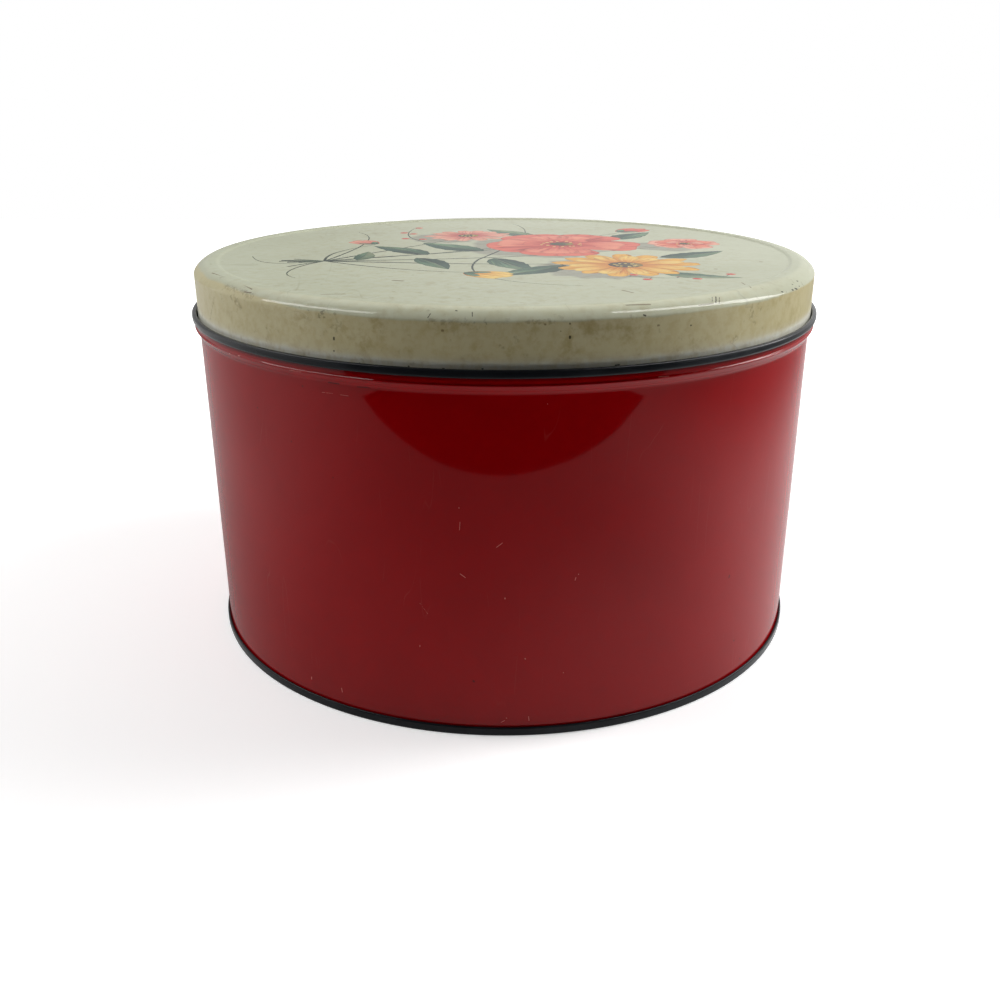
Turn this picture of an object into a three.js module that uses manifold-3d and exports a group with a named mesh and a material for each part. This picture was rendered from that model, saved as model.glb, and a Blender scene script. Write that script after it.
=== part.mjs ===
// Round cake tin with a lift-off lid, in millimetres, standing on the XY plane with +Z up.
// Each piece is one sheet of tinplate. Its half section is drawn as the middle line of the
// sheet, given half the sheet's thickness on each side and turned about the Z axis.
import * as THREE from 'three';
import { mergeVertices } from 'three/addons/utils/BufferGeometryUtils.js';
import Module from 'manifold-3d';

// Sheet thicknesses
const bodySheet = 0.28;
const endSheet = 0.28;
const lidSheet = 0.3;

// Body: radius outside the straight wall and height of the ring above the table. The wall
// flares out by a short step and stands straight again between that and the ring.
const bodyRadius = 120;
const ringTop = 129.3;
const flareOut = 1.32;
const flareHeight = 3.2;
const aboveFlare = 2.5;

// Double seams: five layers of sheet, folded together with a small gap between them
const layerGap = 0.08;
const baseSeamHeight = 3.2;
const ringSeamHeight = 2.7;
const seamCorner = 0.42;
const ringSeamCorner = 0.72;
const seamTaperRadius = 1;
const hookEndGap = 0.2;

// Side seam of the body: a flattened lock fold on the inside and its groove on the outside
const lockWidth = 5.6;
const lockDepth = 0.84;
const lockEndGap = 2.5;
const lockGrooveWidth = 0.6;
const lockGrooveDepth = 0.1;

// Bottom panel, raised clear of the table, with shallow rings stepped up towards the middle
const panelHeight = 4.6;
const panelCorner = 1.2;
const panelStepDrop = 0.7;
const panelStepRun = 3;
const panelStepShares = [0.52, 0.8];

// Neck: the groove that the lid's edge stands in, and the collar that the lid slips over
const grooveDepth = 3.5;
const ledgeCorner = 0.8;
const neckClearance = 0.55;
const rimCurl = 2.2;
const rimHeadroom = 2.8;

// Lid: how far it stands above the ring, and its running and resting gaps in the groove
const lidAboveRing = 17.76;
const lidSideGap = 0.53;
const lidSeatGap = 0.3;
const shoulderRadius = 6.1;
const crestWidth = 1.8;
const panelDrop = 0.5;
const panelDropRun = 2.4;
const lidCurl = 2;

// One overrun serves every cut
const cutOverrun = 1;

// Angles and shares
const quarterTurn = Math.PI / 2;
const halfTurn = Math.PI;
const curlTurn = Math.PI * 1.55;
const baseTaperTurn = Math.PI * 0.07;
const ringTaperTurn = Math.PI * 0.22;
const jogShare = 0.5;

// Facets round the tin, and steps along the bends of a section
const facetCount = 48;
const cornerSteps = 2;
const foldSteps = 3;
const taperSteps = 1;
const flareSteps = 3;
const shoulderSteps = 4;
const curlSteps = 5;
const jogSteps = 1;

// Colours
const enamelRed = '#9c1217';
const lacquerBlack = '#1b191b';
const creamEnamel = '#cfcdb4';

const seamFacetSlope = Math.tan(Math.PI / facetCount);

// The middle line of a sheet in the half plane of radius and height, built bend by bend
class SheetPath {
  constructor(radius, height, heading) {
    this.point = new THREE.Vector2(radius, height);
    this.heading = heading;
    this.stations = [];
    this.mark();
  }

  left() {
    return new THREE.Vector2(-Math.sin(this.heading), Math.cos(this.heading));
  }

  mark() {
    this.stations.push({ point: this.point.clone(), left: this.left() });
    return this;
  }

  toRadius(radius) {
    this.point.x = radius;
    return this.mark();
  }

  toHeight(height) {
    this.point.y = height;
    return this.mark();
  }

  // An arc to the left for a positive turn and to the right for a negative one
  bend(radius, turn, steps) {
    const reach = radius * Math.sign(turn);
    const centre = this.point.clone().addScaledVector(this.left(), reach);
    for (let step = 0; step < steps; step += 1) {
      this.heading += turn / steps;
      this.point = centre.clone().addScaledVector(this.left(), -reach);
      this.mark();
    }
    return this;
  }

  // Two opposite arcs that shift the line sideways, to the left when the shift is positive
  jog(run, shift, firstShare, steps) {
    const turn = 2 * Math.atan(shift / run);
    const radius = run / Math.sin(Math.abs(turn));
    this.bend(radius * firstShare, turn, steps);
    return this.bend(radius * (1 - firstShare), -turn, steps);
  }

  // The section's outline, counter-clockwise: out along the right side, back along the left
  outline(thickness) {
    const side = (offset) => this.stations.map(
      ({ point, left }) => point.clone().addScaledVector(left, offset),
    );
    const points = [...side(-thickness / 2), ...side(thickness / 2).reverse()];
    if (points[0].x > 0) {
      points.push(points[0].clone());
    }
    return points;
  }
}

function revolve(path, thickness) {
  return new THREE.LatheGeometry(path.outline(thickness), facetCount).rotateX(quarterTurn);
}

// Layers of a double seam, from the outside radius of the wall that it closes. The reach is
// its height, positive where the seam stands up from its edge and negative where it hangs.
// Its outer wall is straight from the corner at the edge, then tapers in to the cover's fold.
function doubleSeam(wallRadius, edge, reach, edgeCorner, taperTurn) {
  const side = Math.sign(reach);
  const bodyWall = wallRadius - bodySheet / 2;
  const chuckWall = wallRadius - bodySheet - layerGap - endSheet / 2;
  const coverHook = wallRadius + layerGap + endSheet / 2;
  const bodyHook = coverHook + endSheet / 2 + layerGap + bodySheet / 2;
  const seamWall = bodyHook + bodySheet / 2 + layerGap + endSheet / 2;
  const bodyFold = (bodyHook - bodyWall) / 2;
  const taperIn = seamTaperRadius * (1 - Math.cos(taperTurn));
  const coverFold = (seamWall - taperIn - coverHook) / (1 + Math.cos(taperTurn));
  const bodyFoldHeight = edge + side * (endSheet + layerGap + bodySheet / 2 + bodyFold);
  const coverFoldHeight = edge + reach - side * (endSheet / 2 + coverFold);
  const taperRise = (seamTaperRadius - coverFold) * Math.sin(taperTurn);
  const taperStart = coverFoldHeight - side * taperRise;
  return {
    edge,
    side,
    chuckWall,
    bodyHook,
    seamWall,
    bodyFold,
    coverFold,
    bodyFoldHeight,
    edgeCorner,
    taperTurn,
    taperStart,
    bodyHookTip: taperStart - side * hookEndGap,
    coverHookTip: bodyFoldHeight + side * hookEndGap,
  };
}

// The end's sheet leaves the chuck wall, goes over the body's hook and tucks its own inside
function foldOverBody(path, seam) {
  const turn = seam.side * quarterTurn;
  const taper = seam.side * seam.taperTurn;
  return path
    .toHeight(seam.edge + seam.side * (endSheet / 2 + seamCorner))
    .bend(seamCorner, turn, cornerSteps)
    .toRadius(seam.seamWall - seam.edgeCorner)
    .bend(seam.edgeCorner, turn, cornerSteps)
    .toHeight(seam.taperStart)
    .bend(seamTaperRadius, taper, taperSteps)
    .bend(seam.coverFold, 2 * turn - taper, foldSteps)
    .toHeight(seam.coverHookTip);
}

// Sizes that more than one piece needs
const baseSeam = doubleSeam(bodyRadius, 0, baseSeamHeight, seamCorner, baseTaperTurn);
const ringWall = bodyRadius + flareOut;
const ringSeam = doubleSeam(ringWall, ringTop, -ringSeamHeight, ringSeamCorner, ringTaperTurn);
const flareStart = ringTop - ringSeamHeight - aboveFlare - flareHeight;
const ledgeTop = ringTop - grooveDepth;
const lidRadius = ringSeam.chuckWall - endSheet / 2 - lidSideGap;
const lidTop = ringTop + lidAboveRing;
const neckRadius = lidRadius - lidCurl - neckClearance - endSheet / 2;
const rimTop = lidTop - panelDrop - lidSheet - rimHeadroom;

const wasm = await Module();
wasm.setup();

function toSolid(geometry) {
  geometry.deleteAttribute('normal');
  geometry.deleteAttribute('uv');
  const merged = mergeVertices(geometry);
  const mesh = new wasm.Mesh({
    numProp: 3,
    vertProperties: new Float32Array(merged.attributes.position.array),
    triVerts: new Uint32Array(merged.index.array),
  });
  return new wasm.Manifold(mesh);
}

function toGeometry(solid) {
  const mesh = solid.getMesh();
  const geometry = new THREE.BufferGeometry();
  geometry.setAttribute('position', new THREE.BufferAttribute(mesh.vertProperties, 3));
  geometry.setIndex(new THREE.BufferAttribute(mesh.triVerts, 1));
  return geometry;
}

// An upright strip at the back of the tin, whose plan follows the facets of the wall
function wallStrip(leftEdge, rightEdge, innerRadius, outerRadius, bottom, top) {
  const across = [leftEdge, 0, rightEdge].filter((x) => x >= leftEdge && x <= rightEdge);
  const edge = (radius) => across.map(
    (x) => new THREE.Vector2(x, radius - Math.abs(x) * seamFacetSlope),
  );
  const plan = new THREE.Shape([...edge(innerRadius), ...edge(outerRadius).reverse()]);
  const strip = new THREE.ExtrudeGeometry(plan, { depth: top - bottom, bevelEnabled: false });
  return toSolid(strip.translate(0, 0, bottom));
}

// The wall, hooked outwards at both ends, with its flare below the ring and its side seam
function bodyShell() {
  const path = new SheetPath(baseSeam.bodyHook, baseSeam.bodyHookTip, -quarterTurn)
    .toHeight(baseSeam.bodyFoldHeight)
    .bend(baseSeam.bodyFold, -halfTurn, foldSteps)
    .toHeight(flareStart)
    .jog(flareHeight, -flareOut, jogShare, flareSteps)
    .toHeight(ringSeam.bodyFoldHeight)
    .bend(ringSeam.bodyFold, -halfTurn, foldSteps)
    .toHeight(ringSeam.bodyHookTip);

  const halfLock = lockWidth / 2;
  const lockBottom = panelHeight + endSheet / 2 + lockEndGap;
  const lockTop = flareStart - lockEndGap;
  const lock = wallStrip(
    -halfLock,
    halfLock,
    bodyRadius - bodySheet - lockDepth,
    bodyRadius - bodySheet / 2,
    lockBottom,
    lockTop,
  );
  const groove = wallStrip(
    halfLock - lockGrooveWidth,
    halfLock,
    bodyRadius - lockGrooveDepth,
    bodyRadius + cutOverrun,
    lockBottom,
    lockTop,
  );
  return toGeometry(toSolid(revolve(path, bodySheet)).add(lock).subtract(groove));
}

// The recessed bottom, from the middle of its panel to the hook inside the lower seam
function bottomEnd() {
  const middleHeight = panelHeight + panelStepDrop * panelStepShares.length;
  const path = new SheetPath(0, middleHeight, 0);
  for (const share of panelStepShares) {
    path
      .toRadius(baseSeam.chuckWall * share)
      .jog(panelStepRun, -panelStepDrop, jogShare, jogSteps);
  }
  path
    .toRadius(baseSeam.chuckWall - panelCorner)
    .bend(panelCorner, -quarterTurn, cornerSteps);
  return revolve(foldOverBody(path, baseSeam), endSheet);
}

// The ring, from the free edge of its rim curl down the collar, through the groove that the
// lid stands in and over the body's upper hook
function neckRing() {
  const curl = (rimCurl - endSheet) / 2;
  const ledgeMiddle = ledgeTop - endSheet / 2;
  const curlAxis = new THREE.Vector2(neckRadius - curl, rimTop - rimCurl / 2);
  const path = new SheetPath(
    curlAxis.x + curl * Math.cos(curlTurn),
    curlAxis.y + curl * Math.sin(curlTurn),
    curlTurn - quarterTurn,
  )
    .bend(curl, -curlTurn, curlSteps)
    .toHeight(ledgeMiddle + ledgeCorner)
    .bend(ledgeCorner, quarterTurn, cornerSteps)
    .toRadius(ringSeam.chuckWall - ledgeCorner)
    .bend(ledgeCorner, quarterTurn, cornerSteps);
  return revolve(foldOverBody(path, ringSeam), endSheet);
}

// The lid, from the middle of its panel over the crest and shoulder to the curled skirt
function liftOffLid() {
  const curl = (lidCurl - lidSheet) / 2;
  const crestEdge = lidRadius - shoulderRadius;
  const path = new SheetPath(0, lidTop - panelDrop - lidSheet / 2, 0)
    .toRadius(crestEdge - crestWidth - panelDropRun)
    .jog(panelDropRun, panelDrop, jogShare, jogSteps)
    .toRadius(crestEdge)
    .bend(shoulderRadius - lidSheet / 2, -quarterTurn, shoulderSteps)
    .toHeight(ledgeTop + lidSeatGap + lidCurl / 2)
    .bend(curl, -curlTurn, curlSteps);
  return revolve(path, lidSheet);
}

function addPiece(group, name, geometry, color, roughness, metalness) {
  const material = new THREE.MeshStandardMaterial({ color, roughness, metalness });
  const mesh = new THREE.Mesh(geometry, material);
  mesh.name = name;
  group.add(mesh);
}

const tin = new THREE.Group();
addPiece(tin, 'body_shell', bodyShell(), enamelRed, 0.25, 0.1);
addPiece(tin, 'bottom_end', bottomEnd(), lacquerBlack, 0.35, 0.2);
addPiece(tin, 'neck_ring', neckRing(), lacquerBlack, 0.35, 0.2);
addPiece(tin, 'lid', liftOffLid(), creamEnamel, 0.35, 0.1);

export default tin;
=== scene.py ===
"""Looks of the round cake tin: enamelled wall, black seams, printed cream lid. Units are metres."""
import math
import random
from collections import namedtuple

import bpy
import numpy as np
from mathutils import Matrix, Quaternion, Vector, geometry, noise


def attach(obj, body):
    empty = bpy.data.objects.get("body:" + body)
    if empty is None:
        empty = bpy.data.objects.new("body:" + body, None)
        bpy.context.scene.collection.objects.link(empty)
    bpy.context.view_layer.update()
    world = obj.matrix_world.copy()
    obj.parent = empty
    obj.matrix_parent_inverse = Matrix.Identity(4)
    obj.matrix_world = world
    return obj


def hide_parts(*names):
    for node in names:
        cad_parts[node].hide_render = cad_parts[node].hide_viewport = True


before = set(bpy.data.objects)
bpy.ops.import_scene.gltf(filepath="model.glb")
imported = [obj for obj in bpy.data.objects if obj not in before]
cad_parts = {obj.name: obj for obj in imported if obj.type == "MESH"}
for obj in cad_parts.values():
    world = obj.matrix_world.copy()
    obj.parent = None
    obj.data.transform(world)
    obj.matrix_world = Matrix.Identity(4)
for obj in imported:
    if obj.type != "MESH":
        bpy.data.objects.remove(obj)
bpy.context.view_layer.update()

MM = 0.001
QUARTER = math.pi / 2
HALF = math.pi

# Sheet thicknesses
BODY_SHEET = 0.28 * MM
END_SHEET = 0.28 * MM
LID_SHEET = 0.3 * MM

# Body
BODY_RADIUS = 120 * MM
RING_TOP = 129.3 * MM
FLARE_OUT = 1.32 * MM
FLARE_HEIGHT = 3.2 * MM
ABOVE_FLARE = 2.5 * MM
BEAD_OUT = 0.4 * MM
BEAD_PEAK = 2.35 * MM
BEAD_RISE = 1.1 * MM
BEAD_FALL = 0.6 * MM

# Double seams
LAYER_GAP = 0.08 * MM
BASE_SEAM_HEIGHT = 3.2 * MM
RING_SEAM_HEIGHT = 2.7 * MM
SEAM_CORNER = 0.42 * MM
RING_SEAM_CORNER = 0.72 * MM
SEAM_TAPER_RADIUS = 1 * MM
BASE_TAPER_TURN = HALF * 0.07
RING_TAPER_TURN = HALF * 0.22
HOOK_END_GAP = 0.2 * MM

# Side seam at the back of the wall
LOCK_WIDTH = 5.6 * MM
LOCK_DEPTH = 0.84 * MM
LOCK_END_GAP = 2.5 * MM
LOCK_GROOVE_WIDTH = 0.6 * MM
LOCK_GROOVE_DEPTH = 0.1 * MM
LOCK_EDGE = 0.12 * MM

# Bottom panel
PANEL_HEIGHT = 4.6 * MM
PANEL_CORNER = 1.2 * MM
PANEL_STEP_DROP = 0.7 * MM
PANEL_STEP_RUN = 3 * MM
PANEL_STEP_SHARES = (0.52, 0.8)

# Neck and lid
GROOVE_DEPTH = 3.5 * MM
LEDGE_CORNER = 0.8 * MM
NECK_CLEARANCE = 0.55 * MM
RIM_CURL = 2.2 * MM
RIM_HEADROOM = 2.8 * MM
LID_ABOVE_RING = 17.76 * MM
LID_SIDE_GAP = 0.53 * MM
LID_SEAT_GAP = 0.3 * MM
SHOULDER_RADIUS = 6.1 * MM
SHOULDER_DEPTH = 4 * MM
SHOULDER_CORNER = 1.4 * MM
SHOULDER_CORNER_TURN = math.radians(35)
CREST_WIDTH = 1.8 * MM
PANEL_DROP = 0.5 * MM
PANEL_DROP_RUN = 2.4 * MM
LID_CURL = 2 * MM
CURL_TURN = math.radians(279)

# Fineness of the meshes
ROUND_STEPS = 384
CORNER_STEPS = 6
FOLD_STEPS = 8
TAPER_STEPS = 5
SEAM_WALL_STEPS = 3
CURL_STEPS = 14
SHOULDER_STEPS = 14
WALL_STEPS = 56
FLARE_STEPS = 8
BEAD_STEPS = 26
STEP_STEPS = 5
PANEL_STEPS = 20
MARK_STEPS = 90
SHARP_ANGLE = math.radians(50)
ON_AXIS = 1e-9
EDGE_SLACK = 1e-7
WALL_SLACK = 1e-6

# Camera, fitted to the photograph's outline
CAMERA_AT = Vector((0, -424.58 * MM, 207.08 * MM))
CAMERA_PITCH = 0.3813
CAMERA_LENS = 37.48
SENSOR_WIDTH = 36
CAMERA_SHIFT = (-0.00427, 0.00628)


class SheetPath:
    """The middle line of a sheet in the half plane of radius and height, built bend by bend."""

    def __init__(self, radius, height, heading):
        self.radius = radius
        self.height = height
        self.heading = heading
        self.stations = []
        self.mark()

    def mark(self):
        left = (-math.sin(self.heading), math.cos(self.heading))
        self.stations.append((self.radius, self.height, left))

    def move(self, key, goal, steps):
        start = getattr(self, key)
        for step in range(1, steps + 1):
            setattr(self, key, start + (goal - start) * step / steps)
            self.mark()
        return self

    def to_radius(self, radius, steps=1):
        return self.move("radius", radius, steps)

    def to_height(self, height, steps=1):
        return self.move("height", height, steps)

    def bend(self, radius, turn, steps):
        reach = math.copysign(radius, turn)
        centre_r = self.radius - reach * math.sin(self.heading)
        centre_h = self.height + reach * math.cos(self.heading)
        for _ in range(steps):
            self.heading += turn / steps
            self.radius = centre_r + reach * math.sin(self.heading)
            self.height = centre_h - reach * math.cos(self.heading)
            self.mark()
        return self

    def jog(self, run, shift, steps):
        """Two equal bends that shift the path aside over a run."""
        turn = 2 * math.atan(shift / run)
        radius = run / math.sin(abs(turn)) / 2
        return self.bend(radius, turn, steps).bend(radius, -turn, steps)

    def side(self, offset):
        return [(r + left[0] * offset, h + left[1] * offset) for r, h, left in self.stations]

    def outline(self, thickness):
        """Closed section, counter-clockwise, and how many of its points are on the right side."""
        right = self.side(-thickness / 2)
        left = self.side(thickness / 2)
        return right + left[::-1], len(right)


Seam = namedtuple("Seam", "edge side corner taper_turn taper_start chuck_wall seam_wall cover_fold "
                  "cover_tip hook_wall hook_fold hook_fold_height hook_tip")


def double_seam(wall_radius, edge, reach, corner, taper_turn):
    """The sizes of a seam in which an end's rim is folded over the wall's hook."""
    side = math.copysign(1, reach)
    body_wall = wall_radius - BODY_SHEET / 2
    cover_hook = wall_radius + LAYER_GAP + END_SHEET / 2
    hook_wall = cover_hook + END_SHEET / 2 + LAYER_GAP + BODY_SHEET / 2
    seam_wall = hook_wall + BODY_SHEET / 2 + LAYER_GAP + END_SHEET / 2
    hook_fold = (hook_wall - body_wall) / 2
    taper_in = SEAM_TAPER_RADIUS * (1 - math.cos(taper_turn))
    cover_fold = (seam_wall - taper_in - cover_hook) / (1 + math.cos(taper_turn))
    hook_fold_height = edge + side * (END_SHEET + LAYER_GAP + BODY_SHEET / 2 + hook_fold)
    cover_fold_height = edge + reach - side * (END_SHEET / 2 + cover_fold)
    taper_start = cover_fold_height - side * (SEAM_TAPER_RADIUS - cover_fold) * math.sin(taper_turn)
    chuck_wall = wall_radius - BODY_SHEET - LAYER_GAP - END_SHEET / 2
    return Seam(edge, side, corner, taper_turn, taper_start, chuck_wall, seam_wall, cover_fold,
                hook_fold_height + side * HOOK_END_GAP, hook_wall, hook_fold, hook_fold_height,
                taper_start - side * HOOK_END_GAP)


def fold_over_body(path, seam):
    turn = seam.side * QUARTER
    taper = seam.side * seam.taper_turn
    path.to_height(seam.edge + seam.side * (END_SHEET / 2 + SEAM_CORNER))
    path.bend(SEAM_CORNER, turn, CORNER_STEPS)
    path.to_radius(seam.seam_wall - seam.corner)
    path.bend(seam.corner, turn, CORNER_STEPS)
    path.to_height(seam.taper_start, SEAM_WALL_STEPS)
    path.bend(SEAM_TAPER_RADIUS, taper, TAPER_STEPS)
    path.bend(seam.cover_fold, 2 * turn - taper, FOLD_STEPS)
    return path.to_height(seam.cover_tip)


BASE_SEAM = double_seam(BODY_RADIUS, 0, BASE_SEAM_HEIGHT, SEAM_CORNER, BASE_TAPER_TURN)
RING_WALL = BODY_RADIUS + FLARE_OUT
RING_SEAM = double_seam(RING_WALL, RING_TOP, -RING_SEAM_HEIGHT, RING_SEAM_CORNER, RING_TAPER_TURN)
RING_BOTTOM = RING_TOP - RING_SEAM_HEIGHT
FLARE_START = RING_BOTTOM - ABOVE_FLARE - FLARE_HEIGHT
LEDGE_TOP = RING_TOP - GROOVE_DEPTH
LID_RADIUS = RING_SEAM.chuck_wall - END_SHEET / 2 - LID_SIDE_GAP
LID_TOP = RING_TOP + LID_ABOVE_RING
NECK_RADIUS = LID_RADIUS - LID_CURL - NECK_CLEARANCE - END_SHEET / 2
RIM_TOP = LID_TOP - PANEL_DROP - LID_SHEET - RIM_HEADROOM
LOCK_BOTTOM = PANEL_HEIGHT + END_SHEET / 2 + LOCK_END_GAP
LOCK_TOP = FLARE_START - LOCK_END_GAP
PANEL_TOP = LID_TOP - PANEL_DROP
PANEL_RADIUS = LID_RADIUS - SHOULDER_RADIUS - CREST_WIDTH - PANEL_DROP_RUN
CROWN_TURN = QUARTER - SHOULDER_CORNER_TURN
CROWN_RADIUS = ((SHOULDER_DEPTH - SHOULDER_CORNER * math.sin(SHOULDER_CORNER_TURN))
                / (1 - math.cos(CROWN_TURN)))
CROWN_START = (LID_RADIUS - SHOULDER_CORNER * (1 - math.cos(SHOULDER_CORNER_TURN))
               - CROWN_RADIUS * math.sin(CROWN_TURN))


def even_azimuths():
    return [2 * HALF * step / ROUND_STEPS for step in range(ROUND_STEPS)]


def turn_section(section, right_count, painted_right, azimuths, shape, stop=None):
    """A closed section turned about Z: vertices, faces, materials and each point's ring.

    Material 0 is the painted side and 1 the plain one. No face is made past the point "stop".
    """
    on_axis = section[0][0] < ON_AXIS
    verts = []
    rings = []
    count = len(azimuths)
    for index, (r, h) in enumerate(section):
        if r < ON_AXIS:
            verts.append((0, 0, h))
            rings.append([len(verts) - 1] * count)
            continue
        first = len(verts)
        for azimuth in azimuths:
            radius, height = shape(r, h, azimuth, index < right_count)
            verts.append((radius * math.sin(azimuth), -radius * math.cos(azimuth), height))
        rings.append(list(range(first, first + count)))
    faces = []
    slots = []
    last = len(section) - 1 if on_axis else len(section)
    for index in range(stop or last):
        here, there = rings[index], rings[(index + 1) % len(section)]
        for step in range(count):
            turn = (step + 1) % count
            corners = [here[step], here[turn], there[turn], there[step]]
            faces.append([c for k, c in enumerate(corners) if c != corners[k - 1]])
            slots.append(0 if (index < right_count) == painted_right else 1)
    return verts, faces, slots, rings


def plain_shape(r, h, azimuth, right):
    return r, h


def revolve(name, path, thickness, painted_right, azimuths=None, shape=plain_shape):
    section, right_count = path.outline(thickness)
    verts, faces, slots, _ = turn_section(
        section, right_count, painted_right, azimuths or even_azimuths(), shape)
    return make_piece(name, verts, faces, slots)


def add_object(name, data):
    made = bpy.data.objects.new(name, data)
    bpy.context.scene.collection.objects.link(made)
    return made


def make_piece(name, verts, faces, slots):
    mesh = bpy.data.meshes.new(name)
    mesh.from_pydata(verts, [], faces)
    mesh.polygons.foreach_set("material_index", slots)
    mesh.polygons.foreach_set("use_smooth", [True] * len(faces))
    mesh.set_sharp_from_angle(angle=SHARP_ANGLE)
    mesh.update()
    return add_object(name, mesh)


def dress(piece, body, node, slot, *materials):
    for material in materials:
        piece.data.materials.append(material)
    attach(piece, body)
    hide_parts(node)


# Marks seen in the photograph, as pixels of its 1000 x 1000 frame: x and y of both ends of the
# mark, then half its width in millimetres

PHOTO_SIDE = 1000
# Light chips of the wall; the marks on the flare's start at the left, from about (229, 353) to (301, 372),
# are painted highlights
WALL_CHIPS_AND_GLINTS = (
    (459, 508, 459, 508, 0.2), (460, 522, 459.5, 530, 0.14), (496.4, 547.5, 502.4, 543, 0.19),
    (460.3, 574, 465.3, 577.6, 0.21), (505, 598, 505, 599, 0.24), (420, 645, 420, 646.5, 0.22),
    (311.6, 677, 311.6, 679, 0.28), (341.6, 688.2, 342.4, 692, 0.24), (322, 392.2, 332.5, 393.5, 0.08),
    (340.3, 394.8, 348.2, 395.9, 0.08), (289.3, 370, 301.1, 371.8, 0.11), (575.2, 580.4, 575.9, 577.8, 0.19),
    (578.6, 574.2, 578.6, 574.6, 0.2), (525.2, 658.6, 525.4, 659.1, 0.26), (563.4, 672.8, 563.4, 673, 0.2),
    (528.5, 716.6, 529, 720.4, 0.18), (506.3, 718, 506.6, 718.2, 0.2), (658.6, 377, 669.1, 376.2, 0.2),
    (547.6, 404, 547.8, 404, 0.18), (501, 722.4, 504.8, 720.5, 0.1), (229.2, 353.5, 230, 353.8, 0.24),
    (238, 355.6, 240, 356, 0.2), (420, 603.2, 428.4, 614.4, 0.1),
)
WALL_DARK_MARKS = (
    (473.6, 681, 474, 681.4, 0.55), (328.6, 382.3, 339, 384, 0.3), (357.3, 386.7, 370.4, 388, 0.22),
    (302.4, 386.2, 302.6, 386.3, 0.4), (257.5, 407.6, 257.7, 407.7, 0.4), (291.4, 441.6, 291.4, 441.6, 0.35),
    (333, 477.7, 333, 477.7, 0.35), (251.4, 618.9, 251.4, 618.9, 0.4), (729.4, 575.5, 729, 577.3, 0.5),
    (733.9, 640.5, 734, 640.8, 0.45), (739.7, 658.5, 739.7, 658.5, 0.4), (304.2, 568.4, 304.2, 568.4, 0.3),
)
LID_CHIPS = (
    (333.9, 337.8, 333.9, 339.4, 0.5), (333.9, 351, 333.9, 351, 0.35), (430.4, 313.8, 427.8, 317.7, 0.2),
    (472.2, 312.1, 472.4, 316.2, 0.2), (455.9, 310.5, 457, 310.8, 0.3), (715.9, 296.8, 715.9, 302.6, 0.3),
    (712.2, 297, 712.2, 301.5, 0.14), (719.4, 297.5, 719.2, 303, 0.16), (792, 289.8, 793.4, 290, 0.4),
    (795, 288.4, 797.2, 289.2, 0.4), (799, 286.2, 799.6, 286, 0.25),
    (796.9, 280.9, 798, 281, 0.35), (792.2, 284.2, 793, 284.5, 0.3), (781.6, 291.7, 783, 291.9, 0.35),
    (570, 336.4, 570, 338, 0.45), (643.9, 315, 645.5, 315.6, 0.4), (615.3, 365.2, 619.4, 364.6, 0.3),
    (359.4, 363.2, 360, 363.3, 0.3), (408.4, 366.2, 409, 366.3, 0.3), (443, 368.5, 444, 368.5, 0.3),
    (482.2, 368.8, 483, 368.8, 0.3), (570, 323.4, 570, 324, 0.3), (690.8, 325.4, 691.4, 325.4, 0.35),
)
LID_STAINS = (
    (331, 327, 336, 322, 0.8), (214.5, 297.9, 210.4, 319.3, 0.7), (752.5, 306, 750.8, 316, 1.4),
    (751, 314, 754.2, 323, 1.3), (759, 306, 761, 308, 1.2), (516, 339.7, 518, 339.9, 1.3),
    (501, 346.5, 502.5, 347, 0.9), (336, 312, 336.5, 330, 0.7), (226, 286, 252, 296, 1.6),
    (232, 296, 240, 306, 1.8), (731, 341, 736, 338, 1.2), (430, 321, 466, 322.5, 1.2),
    (528, 322, 556, 323, 0.9),
)
LID_BROWN_MARKS = (
    (699, 305.4, 713.3, 303.4, 0.28), (394, 280.4, 402, 280.9, 1.2), (320.6, 294.4, 345, 294, 0.5),
    (626.5, 305, 650, 304.4, 0.45), (741.8, 282.6, 751, 287.7, 0.35), (715.3, 268.7, 716.5, 268.8, 0.8),
    (760.2, 261.7, 761.5, 261.8, 0.8), (244, 291.7, 251, 292.8, 0.35), (212, 272.8, 252, 289.2, 0.34),
    (544.9, 324.4, 545.4, 324.4, 0.4), (658, 325.4, 659, 325.4, 0.45),
    (622.4, 290.7, 632.7, 292.8, 0.7), (442, 330.5, 443, 330.6, 0.5),
)


def pixel_ray(px, py):
    """The direction from the camera through a pixel of the photograph."""
    right = Vector((1, 0, 0))
    up = Vector((0, math.sin(CAMERA_PITCH), math.cos(CAMERA_PITCH)))
    ahead = Vector((0, math.cos(CAMERA_PITCH), -math.sin(CAMERA_PITCH)))
    across = (px / PHOTO_SIDE - 0.5 + CAMERA_SHIFT[0]) * SENSOR_WIDTH / CAMERA_LENS
    rise = (0.5 - py / PHOTO_SIDE + CAMERA_SHIFT[1]) * SENSOR_WIDTH / CAMERA_LENS
    return (ahead + right * across + up * rise).normalized()


def ray_to_cylinder(ray, radius):
    a = ray.x ** 2 + ray.y ** 2
    b = CAMERA_AT.x * ray.x + CAMERA_AT.y * ray.y
    c = CAMERA_AT.x ** 2 + CAMERA_AT.y ** 2 - radius ** 2
    return CAMERA_AT + ray * ((-b - math.sqrt(max(0, b * b - a * c))) / a)


def bead(h):
    """The small round bead at the top of the flare: how far it stands out at a height."""
    above_peak = h - (RING_BOTTOM - BEAD_PEAK)
    share = min(1, abs(above_peak) / (BEAD_FALL if above_peak > 0 else BEAD_RISE))
    return BEAD_OUT * (1 - share * share * (3 - 2 * share))


def hit_profile(ray, profile):
    """Where a ray meets a turned outline, whose points go down and outwards or inwards."""
    for radius, height in profile:
        at = ray_to_cylinder(ray, radius)
        if at.z >= height:
            break
    return at


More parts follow.
